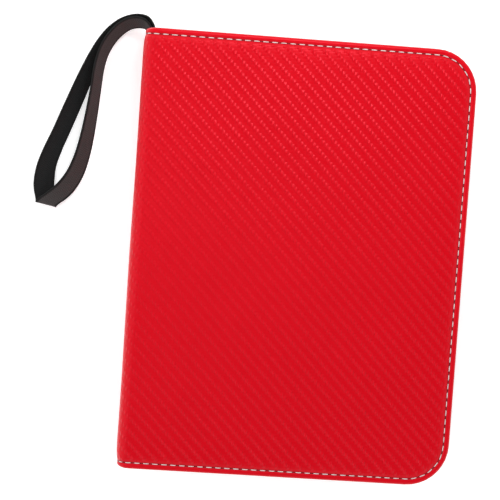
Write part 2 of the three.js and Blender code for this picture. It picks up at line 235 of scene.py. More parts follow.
def cover_skin(side, material):
    """The embossed leatherette of one cover, its rolled edge, its crease and half the spine."""
    lift = 0.0 if side == "front" else -PAD_FACE  # the back cover rests on its whole face
    points, uvs, edges = [], [], []
    across = 0
    for inset, height in EDGE_SECTION:
        line = ring_line(inset)
        across = len(line)
        for s, y in line:
            rough = lumps(s, y) * min(1.0, max(0.0, (inset - 5) / 12)) if side == "front" else 0.0
            raised = height + (lift if inset > 7 else lift * inset / 7) + rough
            points.append(on_sheet(side, s, y, raised))
            uvs.append((s if side == "front" else -s, y))
            edges.append(inset if height > -1.5 else 0.0)
    faces = strip_faces(len(EDGE_SECTION), across)
    if side == "back":
        faces = [tuple(reversed(f)) for f in faces]
    made = make_mesh(f"{side}_cover_skin", points, faces, uvs, attributes={"inset": edges})
    weld_seam(made)
    made.data.materials.append(material)
    return made


def weld_seam(obj):
    """Joins the points where the innermost ring folds onto itself."""
    bm = bmesh.new()
    bm.from_mesh(obj.data)
    bmesh.ops.remove_doubles(bm, verts=bm.verts, dist=1e-6)
    bm.to_mesh(obj.data)
    bm.free()
    obj.data.update()


def cover_lining(side, material):
    """The black cloth inside a cover, over its crease and half the spine."""
    section = [(3.5, -3.42), (10.9, -3.42)]
    section += [(inset, -3.62) for inset in (11.3, 16, 30, 60, 95, 125)]
    points, uvs = [], []
    for inset, height in section:
        line = ring_line(inset)
        across = len(line)
        for s, y in line:
            points.append(on_sheet(side, s, y, height - (0.2 if s < TOP_START + 3 else 0.0)))
            uvs.append((s, y))
    faces = strip_faces(len(section), across)
    if side == "front":
        faces = [tuple(reversed(f)) for f in faces]
    made = make_mesh(f"{side}_cover_lining", points, faces, uvs)
    weld_seam(made)
    made.data.materials.append(material)
    return made


def even_steps(line, pitch):
    """Places (point, direction) at even distances along a line of 2-D points."""
    total = sum(math.dist(a, b) for a, b in zip(line, line[1:]))
    count = round(total / pitch)
    step = total / count
    wanted, done, found = step / 2, 0.0, []
    for a, b in zip(line, line[1:]):
        long = math.dist(a, b)
        while long > 0 and wanted <= done + long and len(found) < count:
            t = (wanted - done) / long
            heading = ((b[0] - a[0]) / long, (b[1] - a[1]) / long)
            found.append(((a[0] + (b[0] - a[0]) * t, a[1] + (b[1] - a[1]) * t), heading))
            wanted += step
        done += long
    return found


def cover_stitches(side, thread, hole):
    """The row of thread in the groove, dipping at each end into a needle hole: a small dent whose dark
    colour is painted shade.
    """
    batch = Batch()
    half = [(-0.5, -0.75), (-0.42, -0.1), (-0.3, 0.12), (-0.12, 0.2)]  # (share of its length, rise)
    shape = half + [(-t, lift) for t, lift in reversed(half)]
    fat = [0.12, 0.2, 0.25, 0.28, 0.28, 0.25, 0.2, 0.12]
    dent = [(-0.42, (0.12, 0.1)), (-0.2, (0.36, 0.12)), (0.2, (0.36, 0.12)), (0.42, (0.12, 0.1))]
    for (s, y), (ds, dy) in even_steps(ring_line(STITCH_INSET), STITCH_PITCH):
        path = []
        for t, lift in shape:
            along = t * STITCH_LONG
            path.append(on_sheet(side, max(0.0, s + ds * along), y + dy * along, lift - STITCH_SUNK))
        batch.add(*tube(path, [(f, f * 0.8) for f in fat], sides=6))
        for end in (-1, 1):
            # Each needle hole is a small dent coloured dark red: painted shade in the hole.
            dot = []
            for w, _ in dent:
                along = end * NEEDLE_HOLE_AT + w
                dot.append(on_sheet(side, max(0.0, s + ds * along), y + dy * along, -0.86))
            batch.add(*tube(dot, [radii for _, radii in dent], sides=6), slot=1)
    return batch.build(f"{side}_stitching", thread, hole)


# Materials


class Graph:
    """A short way to write node materials. Sockets and plain numbers mix freely."""

    def __init__(self, name):
        self.material = bpy.data.materials.new(name)
        self.material.use_nodes = True
        self.tree = self.material.node_tree
        self.shader = self.tree.nodes["Principled BSDF"]

    def feed(self, socket, value):
        if isinstance(value, bpy.types.NodeSocket):
            self.tree.links.new(value, socket)
        else:
            socket.default_value = value

    def node(self, kind, inputs=(), **settings):
        made = self.tree.nodes.new(kind)
        for key, value in settings.items():
            setattr(made, key, value)
        for key, value in dict(inputs).items():
            self.feed(made.inputs[key], value)
        return made

    def math(self, operation, *values):
        made = self.node("ShaderNodeMath", operation=operation)
        for i, value in enumerate(values):
            self.feed(made.inputs[i], value)
        return made.outputs[0]

    def mix(self, factor, low, high):
        made = self.node("ShaderNodeMix", data_type="RGBA")
        self.feed(made.inputs["Factor"], factor)
        self.feed(made.inputs["A"], low)
        self.feed(made.inputs["B"], high)
        return made.outputs["Result"]

    def spread(self, value, low, high, out_low=0.0, out_high=1.0):
        limits = {"From Min": low, "From Max": high, "To Min": out_low, "To Max": out_high}
        made = self.node("ShaderNodeMapRange", limits)
        self.feed(made.inputs["Value"], value)
        return made.outputs["Result"]

    def noise(self, where, scale, detail=3.0):
        made = self.node("ShaderNodeTexNoise", {"Scale": scale, "Detail": detail})
        self.feed(made.inputs["Vector"], where)
        return made.outputs["Fac"]

    def hump(self, value):
        """Half a sine wave over each whole step of the value."""
        return self.math("SINE", self.math("MULTIPLY", self.math("FRACT", value), math.pi))

    def object_place(self):
        return self.node("ShaderNodeTexCoord").outputs["Object"]

    def uv_place(self):
        return self.node("ShaderNodeUVMap", uv_map="UVMap").outputs["UV"]

    def split(self, vector):
        made = self.node("ShaderNodeSeparateXYZ")
        self.feed(made.inputs[0], vector)
        return made.outputs["X"], made.outputs["Y"], made.outputs["Z"]

    def bump(self, height, distance, strength=1.0, below=None):
        made = self.node("ShaderNodeBump", {"Strength": strength, "Distance": distance})
        self.feed(made.inputs["Height"], height)
        if below is not None:
            self.feed(made.inputs["Normal"], below)
        return made.outputs["Normal"]

    def finish(self, color, roughness, normal=None, **constants):
        self.feed(self.shader.inputs["Base Color"], color)
        self.feed(self.shader.inputs["Roughness"], roughness)
        if normal is not None:
            self.feed(self.shader.inputs["Normal"], normal)
        for key, value in constants.items():
            socket = key.replace("_", " ").title().replace("Ior", "IOR")
            self.shader.inputs[socket].default_value = value
        return self.material


def twill_height(g, u, v):
    """Heights, 0 to 1, of a pressed two-over-two twill, and of its beads alone. u and v count its tows.

    The warp floats stand up as rounded beads. The weft floats between them are pressed nearly flat.
    """
    column, row = g.math("FLOOR", u), g.math("FLOOR", v)
    on_top = g.math("LESS_THAN", g.math("FLOORED_MODULO", g.math("ADD", column, row), 4.0), 2.0)
    warp_run = g.math("DIVIDE", g.math("FLOORED_MODULO", g.math("ADD", v, column), 4.0), 2.0)
    weft_place = g.math("FLOORED_MODULO", g.math("ADD", u, row), 4.0)
    weft_run = g.math("DIVIDE", g.math("SUBTRACT", weft_place, 2.0), 2.0)

    def tow(across, run, flatness, roof):
        """A float with rounded sides, which rises to its middle and falls away to its two ends."""
        crown = g.math("POWER", g.hump(across), flatness)
        to_end = g.math("ABSOLUTE", g.math("SUBTRACT", g.math("MULTIPLY", run, 2.0), 1.0))
        return g.math("MULTIPLY", crown, g.math("SUBTRACT", 1.0, g.math("POWER", to_end, roof)))

    warp = g.math("MULTIPLY", tow(u, warp_run, 0.35, 1.25), on_top)
    weft = g.math("MULTIPLY", tow(v, weft_run, 0.3, 6.0), g.math("SUBTRACT", 1.0, on_top))
    return g.math("ADD", warp, g.math("MULTIPLY", weft, 0.12)), warp


TOWS_PER_M = 1000 / 1.72
WEAVE_DEPTH = 0.00044


def leatherette():
    """Red leatherette pressed with a twill, smooth over the rolled edge. Its colour holds painted shade in
    the weave's low places and in the stitched groove, and a painted highlight on the bead crowns.
    """
    g = Graph("red_leatherette")
    place = g.uv_place()
    u, v, _ = g.split(place)
    height, beads = twill_height(g, g.math("MULTIPLY", u, TOWS_PER_M), g.math("MULTIPLY", v, TOWS_PER_M))
    inset = g.node("ShaderNodeAttribute", attribute_name="inset").outputs["Fac"]
    pressed = g.spread(inset, 4.1, 5.6)
    weave = g.math("MULTIPLY", height, pressed)
    # crown marks the bead crowns, which get a painted highlight in the colour and a slightly lower
    # roughness.
    crown = g.math("MULTIPLY", g.spread(beads, 0.2, 0.9), pressed)
    grain = g.noise(place, 2600.0, 4.0)
    patches = g.noise(place, 22.0, 3.0)
    normal = g.bump(grain, 0.00004, 0.5)
    normal = g.bump(weave, WEAVE_DEPTH, 1.0, normal)
    # The red's own tones are middle and deep. Deep also serves as painted shade in the weave's low places,
    # and bright is a painted highlight for the bead crowns.
    deep = (0.52, 0.0005, 0.0052, 1)
    middle = (0.56, 0.0008, 0.0065, 1)
    bright = (0.60, 0.0020, 0.0095, 1)
    # Painted shade: the weave's low places are coloured deeper red.
    painted_gap_shade = g.math("MULTIPLY", g.spread(height, 0.0, 0.1, 1.0, 0.0), pressed)
    color = g.mix(painted_gap_shade, middle, deep)
    # Painted highlight: the bead crowns are coloured brighter red.
    color = g.mix(crown, color, bright)
    color = g.mix(g.spread(patches, 0.35, 0.65, 0.0, 0.25), color, deep)
    # Painted shade: the leatherette is darkened towards a dark red along the stitched groove.
    from_stitches = g.math("ABSOLUTE", g.math("SUBTRACT", inset, STITCH_INSET))
    groove = g.math("SUBTRACT", 1.0, g.spread(from_stitches, 0.15, 0.75))
    color = g.mix(g.math("MULTIPLY", groove, 0.5), color, (0.16, 0.001, 0.004, 1))
    roughness = g.math("SUBTRACT", g.spread(grain, 0.3, 0.7, 0.31, 0.38), g.math("MULTIPLY", crown, 0.05))
    return g.finish(color, roughness, normal, specular_ior_level=0.75, specular_tint=(1.0, 0.13, 0.18, 1))


def plain_cloth(name, dark, light, threads_per_mm):
    """A plain weave of round threads, one over one, on walls as well as on flat faces, coloured with
    painted shade where the threads dip.
    """
    g = Graph(name)
    where = g.object_place()
    x, y, z = g.split(where)
    y = g.math("ADD", y, g.math("MULTIPLY", z, 0.37))
    x = g.math("ADD", x, g.math("MULTIPLY", z, 0.93))
    k = 1000 * threads_per_mm
    u, v = g.math("MULTIPLY", x, k), g.math("MULTIPLY", y, k)
    crossing = g.math("ADD", g.math("FLOOR", u), g.math("FLOOR", v))
    over = g.math("LESS_THAN", g.math("FLOORED_MODULO", crossing, 2.0), 1.0)
    one, two = g.hump(u), g.hump(v)
    height = g.math("ADD", two, g.math("MULTIPLY", g.math("SUBTRACT", one, two), over))
    fuzz = g.noise(where, 900.0, 4.0)
    # Painted shade: the threads are coloured darker where they dip and lighter on their tops.
    color = g.mix(g.math("MULTIPLY", height, g.spread(fuzz, 0.25, 0.75, 0.5, 1.0)), dark, light)
    normal = g.bump(height, 0.00012, 0.8, g.bump(fuzz, 0.00006, 0.5))
    return g.finish(color, g.spread(fuzz, 0.2, 0.8, 0.75, 0.93), normal, sheen_weight=0.15)


RIBS_PER_M = 1000 / 1.15
YARNS_PER_M = 1000 / 0.9


def webbing():
    """Ribbed webbing, coloured with painted shade where its ribs dip. Its UV runs along the strap and
    across it; inner is 1 on its inner face, which is coloured as a darker, painted-shade copy of the outer
    face.
    """
    g = Graph("black_webbing")
    place = g.uv_place()
    along, across, _ = g.split(place)
    u = g.math("MULTIPLY", along, RIBS_PER_M)
    v = g.math("MULTIPLY", across, YARNS_PER_M)
    slant = g.math("MULTIPLY", g.math("ABSOLUTE", g.math("PINGPONG", v, 2.0)), 0.5)
    rib = g.hump(g.math("ADD", u, slant))
    yarn = g.hump(v)
    height = g.math("MULTIPLY", rib, g.spread(yarn, 0.0, 1.0, 0.55, 1.0))
    fuzz = g.noise(place, 1300.0, 4.0)
    inner = g.node("ShaderNodeAttribute", attribute_name="inner").outputs["Fac"]
    edge = g.spread(g.math("ABSOLUTE", across), 0.0045, 0.0053)
    # Painted shade: the ribs are coloured darker where they dip and lighter on their tops.
    raised = g.math("MULTIPLY", height, 0.75)
    outer_color = g.mix(raised, (0.026, 0.023, 0.023, 1), (0.066, 0.059, 0.058, 1))
    # Painted shade: the inner face is coloured as a much darker copy of the same webbing.
    painted_shade_inner_color = g.mix(raised, (0.004, 0.004, 0.004, 1), (0.014, 0.014, 0.015, 1))
    color = g.mix(inner, outer_color, painted_shade_inner_color)
    color = g.mix(g.math("MULTIPLY", edge, 0.9), color, (0.003, 0.003, 0.003, 1))
    normal = g.bump(height, 0.00016, 0.9, g.bump(fuzz, 0.00005, 0.6))
    return g.finish(color, g.spread(fuzz, 0.2, 0.8, 0.7, 0.9), normal, specular_ior_level=0.25)


def thread():
    """Pale twisted thread, coloured with painted shade in the grooves of its twist."""
    g = Graph("stitching_thread")
    place = g.object_place()
    waves = {"Scale": 900.0, "Distortion": 1.5, "Detail": 2.0}
    twist = g.node("ShaderNodeTexWave", waves, bands_direction="DIAGONAL")
    g.feed(twist.inputs["Vector"], place)
    # Painted shade: the thread is coloured darker in the grooves of its twist.
    color = g.mix(twist.outputs["Fac"], (0.52, 0.40, 0.40, 1), (0.82, 0.74, 0.73, 1))
    return g.finish(color, 0.6, g.bump(twist.outputs["Fac"], 0.00008, 0.7), sheen_weight=0.2)


def metal(name, color, roughness, metallic=1.0, **extra):
    """Plated or enamelled metal with fine rubbing marks."""
    g = Graph(name)
    place = g.object_place()
    marks = g.noise(place, 700.0, 5.0)
    clouds = g.noise(place, 60.0, 3.0)
    darker = tuple(c * 0.72 for c in color[:3]) + (1.0,)
    tint = g.mix(g.spread(clouds, 0.3, 0.7), darker, color)
    rough = g.spread(marks, 0.35, 0.65, roughness * 0.75, roughness * 1.3)
    return g.finish(tint, rough, g.bump(marks, 0.00002, 0.4), metallic=metallic, **extra)


def moulded(name, low, high, roughness, scale=500.0, depth=0.00005, **extra):
    """Plastic, film, foam or board: a mottled colour with a fine uneven surface."""
    g = Graph(name)
    place = g.object_place()
    grain = g.noise(place, scale, 5.0)
    clouds = g.noise(place, scale / 12, 2.0)
    color = g.mix(g.spread(clouds, 0.3, 0.7), low, high)
    rough = g.spread(grain, 0.3, 0.7, roughness * 0.85, roughness * 1.15)
    return g.finish(color, rough, g.bump(grain, depth, 0.5), **extra)


def pocket_film():
    """Clear film over a white sheet: knurled welds round each pocket, and along each pocket's open side a
    thin dark line as painted shadow of its opening.
    """
    g = Graph("pocket_film")
    place = g.object_place()
    x, y, _ = g.split(place)

    def to_lines(value, lines):
        """How far a place is from the nearest of some lines."""
        found = g.math("ABSOLUTE", g.math("SUBTRACT", value, lines[0] * MM))
        for line in lines[1:]:
            found = g.math("MINIMUM", found, g.math("ABSOLUTE", g.math("SUBTRACT", value, line * MM)))
        return found

    # The punched strip has no welds across it.
    left_strip = g.math("MULTIPLY", g.math("LESS_THAN", x, (WELDS_X[1] - 0.5) * MM), 0.01)
    to_weld = g.math("MINIMUM", to_lines(x, WELDS_X), g.math("ADD", to_lines(y, WELDS_Y), left_strip))
    weld = g.spread(to_weld, 0.0007, 0.0010, 1.0, 0.0)
    knurl = g.math("SINE", g.math("MULTIPLY", g.math("ADD", x, y), 5200.0))
    # Painted shadow: a thin dark line beside a weld, along each pocket's open side.
    painted_slit_shadow = g.spread(to_lines(x, [w + 2.6 for w in WELDS_X[1:3]]), 0.00022, 0.0004, 1.0, 0.0)
    wrinkles = g.noise(place, 38.0, 3.0)
    color = g.mix(g.spread(wrinkles, 0.35, 0.65), (0.60, 0.63, 0.67, 1), (0.64, 0.67, 0.71, 1))
    pressed = g.math("MULTIPLY", weld, g.spread(knurl, -1.0, 1.0, 0.55, 1.0))
    color = g.mix(pressed, color, (0.42, 0.45, 0.50, 1))
    color = g.mix(g.math("MULTIPLY", painted_slit_shadow, 0.8), color, (0.22, 0.24, 0.28, 1))
    normal = g.bump(wrinkles, 0.0008, 0.5)
    normal = g.bump(g.math("MULTIPLY", knurl, weld), 0.00008, 0.8, normal)
    rough = g.math("ADD", g.spread(wrinkles, 0.3, 0.7, 0.14, 0.22), g.math("MULTIPLY", weld, 0.3))
    return g.finish(color, rough, normal, coat_weight=0.5, coat_roughness=0.08)


LEATHERETTE = leatherette()
LINING = plain_cloth("black_lining", (0.004, 0.004, 0.005, 1), (0.022, 0.022, 0.026, 1), 1.6)
ZIP_TAPE = plain_cloth("black_zip_tape", (0.004, 0.004, 0.004, 1), (0.020, 0.020, 0.021, 1), 2.2)
WEBBING = webbing()
THREAD = thread()
# The needle holes' dark red is painted shade in the holes.
NEEDLE_HOLE_SHADE = moulded("needle_hole_shade", (0.05, 0.001, 0.002, 1), (0.09, 0.002, 0.004, 1), 0.8)
NYLON_DARK, NYLON_LIGHT = (0.006, 0.006, 0.007, 1), (0.013, 0.013, 0.014, 1)
NYLON = moulded("black_nylon", NYLON_DARK, NYLON_LIGHT, 0.35, specular_ior_level=0.6)
NICKEL = metal("bright_nickel", (0.66, 0.66, 0.67, 1), 0.16)
ENAMEL = metal("black_enamel", (0.022, 0.022, 0.024, 1), 0.28, 0.35, coat_weight=0.5, coat_roughness=0.12)
FILM = pocket_film()
FOAM = moulded("grey_foam", (0.02, 0.02, 0.02, 1), (0.05, 0.05, 0.05, 1), 0.9, 1200.0, 0.0002)
BOARD = moulded("pressed_board", (0.09, 0.08, 0.07, 1), (0.14, 0.12, 0.10, 1), 0.85, 800.0, 0.0001)
BY_SLOT = {
    "leatherette": LEATHERETTE,
    "foam": FOAM,
    "board": BOARD,
    "lining": LINING,
    "zip_tape": ZIP_TAPE,
    "zip_coil": NYLON,
    "ring_metal": NICKEL,
    "slider_metal": ENAMEL,
    "pocket_film": FILM,
    "webbing": WEBBING,
}
# Every solid left showing gets the look its own record names.
for entry in frame["record"]["subparts"]:
    for place in frame["nodes"][entry["node"]].material_slots:
        place.material = BY_SLOT[entry["material_slot"]]


# Covers

SIDES = ("front", "back")
skins = {side: cover_skin(side, LEATHERETTE) for side in SIDES}
linings = {side: cover_lining(side, LINING) for side in SIDES}
stitches = {side: cover_stitches(side, THREAD, NEEDLE_HOLE_SHADE) for side in SIDES}
for side in SIDES:
    for piece in (skins[side], linings[side], stitches[side]):
        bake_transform(piece)
    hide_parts(f"{side}_skin", f"{side}_pad", f"{side}_edge_roll", f"{side}_crease")
    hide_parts(f"{side}_lining")
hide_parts("spine_skin")
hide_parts("spine_lining")


# Zipper

TOOTH_PITCH = 1.5
WALL_INSET = 6.0
ZIP_START = TOP_START + (-81.0 - COVER_LEFT)  # the coils' first tooth, as a distance over the sheet


def zip_line():
    """The zipper's middle line in X and Y."""
    line = ring_line(WALL_INSET, start=ZIP_START)
    return [(COVER_LEFT + s - TOP_START, y) for s, y in line]


def zip_teeth(side, shift):
    """One coil: loops of nylon round the tape's edge, each reaching in between two of the other coil's."""
    batch = Batch()
    toward = 1 if side == "back" else -1
    half = [(1.05, -2.5), (1.12, -1.6), (1.1, -0.4), (0.85, 0.3)]  # (sideways, towards the other coil)
    loop = half + [(0, 0.62)] + [(-side_way, rise) for side_way, rise in reversed(half)]
    for (x, y), (dx, dy) in even_steps(zip_line(), TOOTH_PITCH):
        nx, ny = dy, -dx
        base = (x + dx * shift, y + dy * shift)
        path, fat = [], []
        for side_way, rise in loop:
            lean = 0.25 * side_way
            x_here = base[0] + nx * side_way + dx * lean
            y_here = base[1] + ny * side_way + dy * lean
            path.append((x_here, y_here, MID + toward * rise))
            fat.append((0.3, 0.3) if abs(side_way) > 0.5 else (0.4, 0.34))
        batch.add(*tube(path, fat, sides=5))
    return batch.build(f"{side}_zip_teeth", NYLON)


def zip_edge(side):
    """The tape's edge inside its coil, as a thin rounded band."""
    toward = 1 if side == "back" else -1
    section = [(-0.62, -3.4), (-0.66, -2.2), (-0.5, -0.9), (0, -0.45)]
    section += [(0.5, -0.9), (0.66, -2.2), (0.62, -3.4), (0, -3.5)]
    points = []
    line = zip_line()
    for i, (x, y) in enumerate(line):
        ahead = Vector(line[min(i + 1, len(line) - 1)]) - Vector(line[max(i - 1, 0)])
        ahead.normalize()
        for out, rise in section:
            points.append((x + ahead.y * out, y - ahead.x * out, MID + toward * rise))
    faces = strip_faces(len(line), len(section), closed=True)
    faces += [tuple(range(len(section)))[::-1], tuple(range(len(points) - len(section), len(points)))]
    if toward < 0:
        faces = [tuple(reversed(f)) for f in faces]
    made = make_mesh(f"{side}_zip_edge", points, faces)
    made.data.materials.append(ZIP_TAPE)
    return made


for side, shift in (("front", 0.0), ("back", TOOTH_PITCH / 2)):
    teeth = zip_teeth(side, shift)
    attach(teeth, f"{side}_cover")
    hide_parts(f"{side}_zip_coil")
    edge = zip_edge(side)
    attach(edge, f"{side}_cover")


def rounded_plate(outline, low, high, bevel, axis="z"):
    """Points and faces of a plate with softened edges, from low to high along its axis."""
    count = len(outline)
    cx = sum(a for a, _ in outline) / count
    cy = sum(b for _, b in outline) / count

    def ring(shrink, level):
        found = []
        for a, b in outline:
            away = math.hypot(a - cx, b - cy)
            k = (away - shrink) / away
            found.append((cx + (a - cx) * k, cy + (b - cy) * k, level))
        return found

    soft = bevel * 0.3
    layers = [
        ring(bevel, low), ring(soft, low + soft), ring(0, low + bevel),
        ring(0, high - bevel), ring(soft, high - soft), ring(bevel, high),
    ]
    points = [p for layer in layers for p in layer]
    faces = strip_faces(len(layers), count, closed=True)
    faces += [tuple(range(count))[::-1], tuple(range(len(points) - count, len(points)))]
    if axis == "y":
        points = [(a, level, b) for a, b, level in points]
        faces = [tuple(reversed(f)) for f in faces]
    return points, faces


def slider_outline(half_long, half_high, nose):
    """A zip slider seen from its face: broad at the open end, with a rounded nose, in (along, across)."""
    turns = [math.pi / 2 * (k / 5 - 1) for k in range(11)]
    right = [(nose * math.cos(a) + half_long - nose, half_high * 0.72 * math.sin(a)) for a in turns]
    upper = [(-half_long + 1, half_high), (-half_long, half_high - 1), (-half_long, 1.0)]
    lower = [(along, -across) for along, across in reversed(upper)]
    return right + upper + [(-half_long + 1.6, 0)] + lower


def circle(radius, steps=18):
    """Points (a, b) round a whole circle, the first repeated at the end."""
    turns = [2 * math.pi * k / steps for k in range(steps + 1)]
    return [(radius * math.cos(a), radius * math.sin(a)) for a in turns]


SLIDER_X = -74.0
SLIDER_Y = -(HALF_TALL - WALL_INSET)
PIN_Y = SLIDER_Y - 3.8
PLATE_AT = 1.9  # each of the slider's two plates, from the coils' middle
PLATE_HALF = 0.42
batch = Batch()
face = [(SLIDER_X + a, MID + b) for a, b in slider_outline(5.5, 4.5, 3.2)]
for y in (SLIDER_Y - PLATE_AT, SLIDER_Y + PLATE_AT):
    batch.add(*rounded_plate(face, y - PLATE_HALF, y + PLATE_HALF, 0.28, "y"))
wedge = [(SLIDER_X + a, MID + b) for a, b in ((-5.4, -0.3), (-2.4, -0.3), (-2.4, 0.3), (-5.4, 0.3))]
batch.add(*rounded_plate(wedge, SLIDER_Y - PLATE_AT, SLIDER_Y + PLATE_AT, 0.08, "y"))
for z in (MID - 3.4, MID + 3.4):
    ear = [(SLIDER_X - 1.5, SLIDER_Y - 2.0), (SLIDER_X + 1.5, SLIDER_Y - 2.0)]
    ear += [(SLIDER_X + 1.1, PIN_Y - 0.7), (SLIDER_X + 0.5, PIN_Y - 1.15)]
    ear += [(SLIDER_X - 0.5, PIN_Y - 1.15), (SLIDER_X - 1.1, PIN_Y - 0.7)]
    batch.add(*rounded_plate(ear[::-1], z - 0.36, z + 0.36, 0.15))
batch.add(*tube([(SLIDER_X, PIN_Y, MID + z) for z in (-3.9, -3.7, 3.7, 3.9)],
                [(0.3, 0.3), (0.55, 0.55), (0.55, 0.55), (0.3, 0.3)], sides=14))
slider = batch.build("zip_slider_body", ENAMEL)
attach(slider, "zip_slider")
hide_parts("zip_slider")


def pull_tab():
    """The slider's pull: a wrapped eye, a waisted tab with a raised rim and a round hole at its end."""
    batch = Batch()
    outline = [(0.6, 2.3), (3.0, 2.6), (6.0, 1.7), (10.0, 1.75), (20.0, 2.7), (23.4, 2.6), (24.8, 1.3)]
    outline += [(a, -b) for a, b in reversed(outline)]
    rim_path = [(SLIDER_X + a, PIN_Y, MID + b) for a, b in outline + outline[:1]]
    face = [(SLIDER_X + a, MID + b) for a, b in outline]
    batch.add(*rounded_plate(face[::-1], PIN_Y - PLATE_HALF, PIN_Y + PLATE_HALF, 0.2, "y"))
    batch.add(*tube(rim_path, [(0.42, 0.5)] * len(rim_path), sides=8))
    eye = [(SLIDER_X + a, PIN_Y + b) for a, b in circle(1.05)]
    for z in (-2.2, 0.0, 2.2):
        batch.add(*tube([(x, y, MID + z) for x, y in eye], [(0.32, 0.95)] * len(eye), sides=8))
    hole = [(SLIDER_X + 20.6 + a, PIN_Y, MID + b) for a, b in circle(1.3)]
    batch.add(*tube(hole, [(0.3, 0.62)] * len(hole), sides=8))
    return batch.build("zip_pull_tab", ENAMEL)


pull = pull_tab()
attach(pull, "zip_pull")
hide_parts("zip_pull")


# Pages

LEAVES = 10  # in each of the two blocks
LEAF_PITCH = 0.9
SAG = math.radians(2.2)
SHARP_FROM = math.radians(40)
WELD_STEPS = (-1.0, -0.5, 0.5, 1.0)  # grid lines beside each weld
STRIP_RIGHT = 14.5  # where the punched strip ends and the pockets start
HOLE_REACH = 5.2


def leaf_grid():
    """Grid lines over a page, in X and Y, close together beside the welds."""
    left, right = PAGE_LEFT, PAGE_LEFT + PAGE_WIDE
    top = PAGE_TALL / 2
    near_x = [w + d for w in WELDS_X for d in WELD_STEPS if left < w + d < right]
    even_x = [left + 8 + 5.6 * k for k in range(25) if left + 8 + 5.6 * k < right - 3]
    near_y = [w + d for w in WELDS_Y for d in WELD_STEPS if abs(w + d) < top]
    even_y = [-95 + 5.0 * k for k in range(39)]
    return sorted({left, right, *near_x, *even_x}), sorted({-top, top, *near_y, *even_y})


def leaf_surface():
    """One pocket page about its middle hole: a punched strip and two by two pockets, with pressed welds."""
    holes = [k * RING_PITCH for k in (-1, 0, 1)]
    xs, ys = leaf_grid()
    points = []
    for x in xs:
        for y in ys:
            near = min([abs(x - w) for w in WELDS_X] + [abs(y - w) for w in WELDS_Y if x > 14.0] + [9.0])
            pocket = min(1.0, near / 3.0) if x > STRIP_RIGHT else 0.35
            wave = 0.03 * math.sin(x / 9 + y / 17) * math.sin(y / 13 - x / 29)
            points.append((x, y, 0.16 + 0.13 * pocket + wave * pocket))
    across = len(ys)
    faces = []
    for i in range(len(xs) - 1):
        for j in range(across - 1):
            a = i * across + j
            faces.append((a, a + across, a + across + 1, a + 1))
    made = make_mesh("page_leaf", points, faces)
    bm = bmesh.new()
    bm.from_mesh(made.data)

    def near_hole(place, reach):
        return any(abs(place.x / MM) < reach and abs(place.y / MM - hy) < reach for hy in holes)

    cut = [f for f in bm.faces if near_hole(f.calc_center_median(), 3.2)]
    bmesh.ops.delete(bm, geom=cut, context="FACES")
    open_edges = [e for e in bm.edges if e.is_boundary]
    rims = [e for e in open_edges if near_hole((e.verts[0].co + e.verts[1].co) / 2, HOLE_REACH)]
    bmesh.ops.subdivide_edges(bm, edges=rims, cuts=3)
    for vert in bm.verts:
        if vert.is_boundary and near_hole(vert.co, HOLE_REACH):
            hy = min(holes, key=lambda h: abs(vert.co.y / MM - h))
            a = math.atan2(vert.co.y / MM - hy, vert.co.x / MM)
            vert.co.x = SLOT_WIDE / 2 * math.cos(a) * MM
            vert.co.y = (hy + SLOT_TALL / 2 * math.sin(a)) * MM
    top = bm.faces[:]
    thick = bmesh.ops.extrude_face_region(bm, geom=top)
    for v in [g for g in thick["geom"] if isinstance(g, bmesh.types.BMVert)]:
        v.co.z = -v.co.z
    bmesh.ops.recalc_face_normals(bm, faces=bm.faces)
    for edge in bm.edges:
        edge.smooth = edge.calc_face_angle(0.0) < SHARP_FROM
    bm.to_mesh(made.data)
    bm.free()
    made.data.update()
    made.data.materials.append(FILM)
    return made


leaf = leaf_surface()
tilt = Matrix.Rotation(SAG, 4, "Y")
rings_axis = Matrix.Translation(Vector((RING_X, 0, MID)) * MM)
for i in range(2 * LEAVES):
    z = (i - LEAVES + 0.5) * LEAF_PITCH
    page = leaf if i == 0 else leaf.copy()
    if i:
        bpy.context.scene.collection.objects.link(page)
    page.name = f"pocket_page_{i + 1:02d}"
    hole = math.sqrt(RING_RADIUS**2 - z**2)
    page.matrix_world = rings_axis @ tilt @ Matrix.Translation(Vector((hole, 0, z)) * MM)
    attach(page, "lower_pages" if i < LEAVES else "upper_pages")
    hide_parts(f"page_{i + 1:02d}")


# Wrist strap: each row is a point on the webbing's middle line and the way from there to its upper edge.

